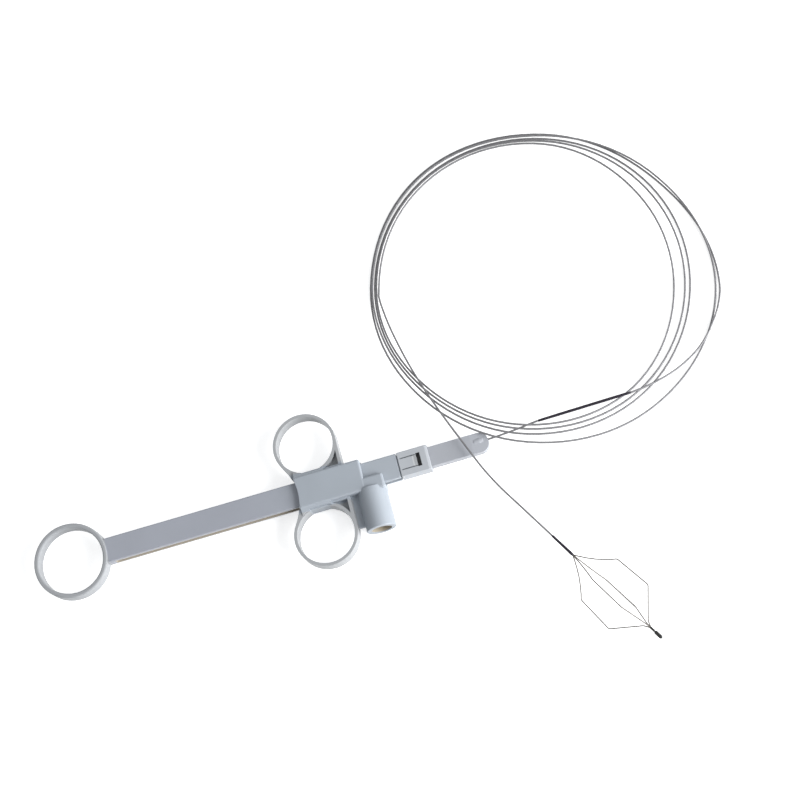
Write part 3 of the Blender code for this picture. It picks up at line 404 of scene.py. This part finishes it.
class Shader:
    """A Principled material with a few node helpers."""

    def __init__(self, name, colour, roughness, metallic=0.0):
        self.made = bpy.data.materials.new(name)
        self.made.use_nodes = True
        self.tree = self.made.node_tree
        self.base = self.tree.nodes["Principled BSDF"]
        self.base.inputs["Base Color"].default_value = (*colour, 1)
        self.base.inputs["Roughness"].default_value = roughness
        self.base.inputs["Metallic"].default_value = metallic
        self.colour = colour

    def node(self, kind, **values):
        """A new node and its inputs' values; an _ in a name is a space."""
        made = self.tree.nodes.new(kind)
        for key, value in values.items():
            made.inputs[key.replace("_", " ")].default_value = value
        return made

    def link(self, a, b):
        """Joins an output to an input."""
        self.tree.links.new(a, b)

    def place(self):
        """The place of a point on the object."""
        return self.node("ShaderNodeTexCoord").outputs["Object"]

    def place_parts(self):
        """The X, Y and Z of a point on the object."""
        parts = self.node("ShaderNodeSeparateXYZ")
        self.link(self.place(), parts.inputs["Vector"])
        return parts.outputs

    def noise(self, scale, detail):
        """Noise from zero to one, by place."""
        made = self.node("ShaderNodeTexNoise", Scale=scale, Detail=detail)
        self.link(self.place(), made.inputs["Vector"])
        return made.outputs["Fac"]

    def mottle(self, factor, spread):
        """Colour that strays from the base by spread, after a factor."""
        ramp = self.node("ShaderNodeValToRGB")
        low, high = ramp.color_ramp.elements
        low.position, high.position = MOTTLE_RANGE
        low.color = (*[c * (1 - spread) for c in self.colour], 1)
        high.color = (*[min(1, c * (1 + spread)) for c in self.colour], 1)
        self.link(factor, ramp.inputs["Fac"])
        self.link(ramp.outputs["Color"], self.base.inputs["Base Color"])

    def inside(self, *ranges):
        """One inside a range along each of X, Y and Z, zero outside it."""
        parts = self.place_parts()
        all_in = None
        for axis, (low, high) in zip("XYZ", ranges):
            near = self.node("ShaderNodeMath")
            near.operation = "COMPARE"
            near.inputs[1].default_value = (low + high) / 2
            near.inputs[2].default_value = (high - low) / 2
            self.link(parts[axis], near.inputs[0])
            if all_in is None:
                all_in = near.outputs["Value"]
                continue
            both = self.node("ShaderNodeMath")
            both.operation = "MULTIPLY"
            self.link(all_in, both.inputs[0])
            self.link(near.outputs["Value"], both.inputs[1])
            all_in = both.outputs["Value"]
        return all_in

    def along_x(self, start, end):
        """Zero to one from one X to another, and held outside them."""
        span = self.node("ShaderNodeMapRange", From_Min=start, From_Max=end)
        self.link(self.place_parts()["X"], span.inputs["Value"])
        return span.outputs["Result"]

    def tint(self, mask, colour):
        """Another colour where the mask is one."""
        socket = self.base.inputs["Base Color"]
        mix = self.node("ShaderNodeMix")
        mix.data_type = "RGBA"
        under, over = [s for s in mix.inputs if s.type == "RGBA"]
        result = [s for s in mix.outputs if s.type == "RGBA"][0]
        self.link(socket.links[0].from_socket, under)
        over.default_value = (*colour, 1)
        self.link(mask, mix.inputs["Factor"])
        self.link(result, socket)

    def rough(self, factor, low, high):
        """Roughness from low to high, after a factor."""
        span = self.node("ShaderNodeMapRange", To_Min=low, To_Max=high)
        self.link(factor, span.inputs["Value"])
        self.link(span.outputs["Result"], self.base.inputs["Roughness"])

    def bump(self, height, strength, distance, under=None):
        """Bump by height, over the bump that is under it."""
        made = self.node(
            "ShaderNodeBump", Strength=strength, Distance=distance
        )
        self.link(height, made.inputs["Height"])
        if under:
            self.link(under, made.inputs["Normal"])
        self.link(made.outputs["Normal"], self.base.inputs["Normal"])
        return made.outputs["Normal"]


def plastic(name, colour, tints, front_colour=None):
    """Moulded satin plastic: fine spark-eroded grain and faint flow clouds.

    The colour goes over to front_colour along the stem, if there is one.
    Each tint is a range along X, Y and Z and the colour inside them, which for
    some tints is painted light or shade.
    """
    s = Shader(name, colour, roughness=0.42)
    s.base.inputs["Specular IOR Level"].default_value = 0.4
    s.base.inputs["Subsurface Weight"].default_value = 0.06
    s.base.inputs["Subsurface Radius"].default_value = (0.002, 0.002, 0.002)
    s.base.inputs["Subsurface Scale"].default_value = 0.5
    s.mottle(s.noise(scale=55, detail=4), spread=0.03)
    if front_colour:
        s.tint(s.along_x(*STEM_FADE_X), front_colour)
    for x, y, z, shade in tints:
        s.tint(s.inside(x, y, z), shade)
    s.rough(s.noise(scale=260, detail=3), low=0.36, high=0.52)
    grain = s.bump(
        s.noise(scale=5200, detail=2), strength=0.18, distance=0.00003
    )
    s.bump(
        s.noise(scale=120, detail=2), strength=0.10, distance=0.0002,
        under=grain,
    )
    return s.made


def metal(name, colour, roughness):
    """Drawn metal: fine streaks in its gloss and colour."""
    s = Shader(name, colour, roughness, metallic=1.0)
    s.mottle(s.noise(scale=METAL_GRAIN / 8, detail=3), spread=0.10)
    s.rough(
        s.noise(scale=METAL_GRAIN, detail=2),
        low=roughness * 0.75, high=roughness * 1.35,
    )
    s.bump(
        s.noise(scale=METAL_GRAIN * 2, detail=2),
        strength=0.12, distance=0.00001,
    )
    return s.made


def wound_metal(name, colour, roughness, pitch_mm):
    """Close-wound wire: ridges across the tube, by the length along it."""
    s = Shader(name, colour, roughness, metallic=1.0)
    along = s.node("ShaderNodeUVMap")
    along.uv_map = "along"
    bands = s.node("ShaderNodeTexWave", Scale=1 / pitch_mm / WAVE_BANDS)
    bands.bands_direction = "X"
    s.link(along.outputs["UV"], bands.inputs["Vector"])
    s.mottle(s.noise(scale=500, detail=3), spread=0.12)
    s.rough(
        s.noise(scale=1800, detail=2),
        low=roughness * 0.8, high=roughness * 1.3,
    )
    s.bump(bands.outputs["Fac"], strength=0.12, distance=0.00004)
    return s.made


def sleeve(name, colour):
    """Dark sleeve or rubber with a soft gloss."""
    s = Shader(name, colour, roughness=0.45)
    s.base.inputs["Specular IOR Level"].default_value = 0.3
    s.mottle(s.noise(scale=350, detail=3), spread=0.25)
    s.rough(s.noise(scale=900, detail=2), low=0.38, high=0.56)
    s.bump(s.noise(scale=1500, detail=2), strength=0.2, distance=0.00004)
    return s.made


def dress(node, finish):
    """Gives a CAD node its scene material."""
    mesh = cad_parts[node].data
    mesh.materials.clear()
    mesh.materials.append(finish)


def around(middle, reach):
    """The range that reaches equally far on both sides of the middle."""
    return middle - reach, middle + reach


def plain_rays(tree):
    """One for rays that show the plain background, zero for light itself."""
    path = tree.nodes.new("ShaderNodeLightPath")
    either = None
    for kind in ("Is Camera Ray", "Is Glossy Ray", "Is Transmission Ray"):
        if either is None:
            either = path.outputs[kind]
            continue
        most = tree.nodes.new("ShaderNodeMath")
        most.operation = "MAXIMUM"
        tree.links.new(either, most.inputs[0])
        tree.links.new(path.outputs[kind], most.inputs[1])
        either = most.outputs["Value"]
    return either


def add_floor():
    """A pale floor that looks white where it is lit and keeps the shadow."""
    bpy.ops.mesh.primitive_plane_add(size=FLOOR_SIZE, location=MIDDLE)
    floor = bpy.context.active_object
    floor.name = "floor"
    made = bpy.data.materials.new("floor_white")
    made.use_nodes = True
    tree = made.node_tree
    base = tree.nodes["Principled BSDF"]
    base.inputs["Base Color"].default_value = (*FLOOR_COLOUR, 1)
    base.inputs["Roughness"].default_value = FLOOR_ROUGHNESS
    base.inputs["Specular IOR Level"].default_value = FLOOR_SPECULAR
    glow = tree.nodes.new("ShaderNodeEmission")
    seen = tree.nodes.new("ShaderNodeMath")
    seen.operation = "MULTIPLY"
    seen.inputs[1].default_value = FLOOR_GLOW
    tree.links.new(plain_rays(tree), seen.inputs[0])
    tree.links.new(seen.outputs["Value"], glow.inputs["Strength"])
    both = tree.nodes.new("ShaderNodeAddShader")
    tree.links.new(base.outputs["BSDF"], both.inputs[0])
    tree.links.new(glow.outputs["Emission"], both.inputs[1])
    out = tree.nodes["Material Output"]
    tree.links.new(both.outputs["Shader"], out.inputs["Surface"])
    floor.data.materials.append(made)


def add_world():
    """Even studio light; the camera and glossy faces see plain white."""
    world = bpy.data.worlds.new("studio")
    world.use_nodes = True
    scene.world = world
    tree = world.node_tree
    light = tree.nodes["Background"]
    light.inputs["Color"].default_value = (*WORLD_COLOUR, 1)
    light.inputs["Strength"].default_value = WORLD_LIGHT
    white = tree.nodes.new("ShaderNodeBackground")
    white.inputs["Strength"].default_value = 1.0
    mix = tree.nodes.new("ShaderNodeMixShader")
    tree.links.new(plain_rays(tree), mix.inputs["Fac"])
    tree.links.new(light.outputs["Background"], mix.inputs[1])
    tree.links.new(white.outputs["Background"], mix.inputs[2])
    out = tree.nodes["World Output"]
    tree.links.new(mix.outputs["Shader"], out.inputs["Surface"])


def add_key_lamp():
    """The large soft lamp, aimed at the floor's middle."""
    data = bpy.data.lights.new("key", "AREA")
    data.energy = KEY_POWER
    data.size = KEY_SIZE
    lamp = bpy.data.objects.new("key", data)
    lamp.location = KEY_AT
    turn = (Vector(MIDDLE) - Vector(KEY_AT)).to_track_quat("-Z", "Y")
    lamp.rotation_euler = turn.to_euler()
    scene.collection.objects.link(lamp)


add_camera()

steel = wound_metal("sheath_steel", SHEATH_STEEL, 0.60, WINDING_PITCH_MM)
dark = sleeve("dark_sleeve_look", DARK_SLEEVE)
route = sheath_points()
sheath = tube("sheath", route, [SHEATH_R] * len(route), SHEATH_SIDES)
sheath.data.materials.append(steel)
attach(sheath, "handle")
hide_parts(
    "sheath_lead_in", "sheath_coil", "sheath_lead_out", "sheath_end"
)

boot_start, boot_end = [Vector(p) for p in LEAD_IN_ROUTE[BOOT_KNOTS]]
boot = tube(
    "boot",
    [boot_start.lerp(boot_end, share) for share, _ in BOOT_RINGS],
    [SLEEVE_R * share for _, share in BOOT_RINGS],
    SLEEVE_SIDES,
)
distal = tube(
    "distal_cover",
    [MOUTH - AXIS * DISTAL_SLEEVE_LENGTH * share for share, _ in DISTAL_RINGS],
    [SLEEVE_R * share for _, share in DISTAL_RINGS],
    SLEEVE_SIDES,
)
for piece, node in ((boot, "sheath_boot"), (distal, "distal_sleeve")):
    piece.data.materials.append(dark)
    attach(piece, "handle")
    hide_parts(node)

# Tints: a range along X, Y and Z, and the colour inside them; the slot's lips,
# the port's bore, the clip's window and its ramp get painted light and shade
# Painted warm edge highlight and shade along the lips of the stem's slot
slot_lips_painted_light = (
    SLOT_X, (-STEM_HALF_WIDTH - PAST_STEM, -STEM_HALF_WIDTH + LIP_DEPTH),
    around(MID_Z, SLOT_HEIGHT / 2 + LIP_HEIGHT), SLOT_LIPS_PAINTED_LIGHT,
)
# Painted shade and warm painted reflection inside the port's bore
port_bore_painted_reflection = (
    around(PORT_X, PORT_BORE_R), PORT_BORE_Y, around(MID_Z, PORT_BORE_R),
    PORT_PAINTED_WARM_REFLECTION,
)
# Painted shade: the clip's window and the nose under it are coloured dark,
# like a deep gap in shade
window_painted_shade = (WINDOW_X, around(0, WINDOW_HALF_WIDTH), WINDOW_Z, WINDOW_PAINTED_SHADE)
# Painted highlight: the clip's ramp is coloured lighter, as if lit
clip_ramp_painted_highlight = (
    RAMP_X, around(0, RAMP_HALF_WIDTH), (WINDOW_Z[1], HIGH_Z), RAMP_PAINTED_HIGHLIGHT,
)
thumb_ring = (
    THUMB_RING_X, around(0, RING_TO_Y), (0, HIGH_Z), THUMB_RING_PLASTIC,
)
finger_rings = [
    (FINGER_RING_X, reach, (0, HIGH_Z), FINGER_RING_PLASTIC)
    for reach in ((-RING_TO_Y, -RING_FROM_Y), (RING_FROM_Y, RING_TO_Y))
]

handle_plastic = plastic(
    "handle_plastic_look", HANDLE_PLASTIC, [slot_lips_painted_light, thumb_ring],
    STEM_FRONT_PLASTIC,
)
slider_plastic = plastic(
    "slider_plastic_look", SLIDER_PLASTIC, [port_bore_painted_reflection, *finger_rings]
)
clip_plastic = plastic(
    "clip_plastic_look", CLIP_PLASTIC, [window_painted_shade, clip_ramp_painted_highlight]
)
nose_plastic = plastic("nose_plastic_look", NOSE_PLASTIC, [window_painted_shade])
bright_steel = metal("bright_steel_look", BRIGHT_STEEL, roughness=0.28)
wire_steel = metal("wire_steel_look", WIRE_STEEL, roughness=0.62)
brass = metal("brass_look", BRASS, roughness=0.30)
dark_steel = metal("dark_steel_look", DARK_STEEL, roughness=0.40)
rubber = sleeve("seal_rubber_look", RUBBER)

# Every CAD node gets its material, the replaced ones too
for finish, nodes in (
    (handle_plastic, ["handle_stem"]),
    (clip_plastic, ["clip_sleeve"]),
    (slider_plastic, ["slider"]),
    (nose_plastic, ["nose"]),
    (brass, ["guide_bush", "clamp_block"]),
    (rubber, ["seal_ring"]),
    (bright_steel, ["sheath_anchor", "clamp_screw", "pull_tube"]),
    (dark, ["sheath_boot", "distal_sleeve"]),
    (dark_steel, ["tip_crimp", "tip_cap"]),
    (steel, [
        "sheath_lead_in", "sheath_coil", "sheath_lead_out", "sheath_end",
    ]),
    (wire_steel, [
        "drive_cable", "basket_hub",
        *[f"basket_wire_{number + 1}" for number in range(WIRE_COUNT)],
    ]),
):
    for node in nodes:
        dress(node, finish)

side = UP.cross(AXIS)
for number in range(WIRE_COUNT):
    angle = WIRE_TURN + number * math.tau / WIRE_COUNT
    spoke = UP * math.cos(angle) + side * math.sin(angle)
    line = [MOUTH + AXIS * p.x + spoke * p.y for p in wire_profile()]
    wire = tube(
        f"cage_wire_{number + 1}", line, [WIRE_R] * len(line), WIRE_SIDES
    )
    wire.data.materials.append(wire_steel)
    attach(wire, "basket")
    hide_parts(f"basket_wire_{number + 1}")
    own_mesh(wire)

tail = tube(
    "cable_tail", [MOUTH + AXIS * t for t in CABLE_TAIL],
    [CABLE_R, CABLE_R], WIRE_SIDES,
)
tail.data.materials.append(wire_steel)
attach(tail, "basket")

add_floor()
add_world()
add_key_lamp()
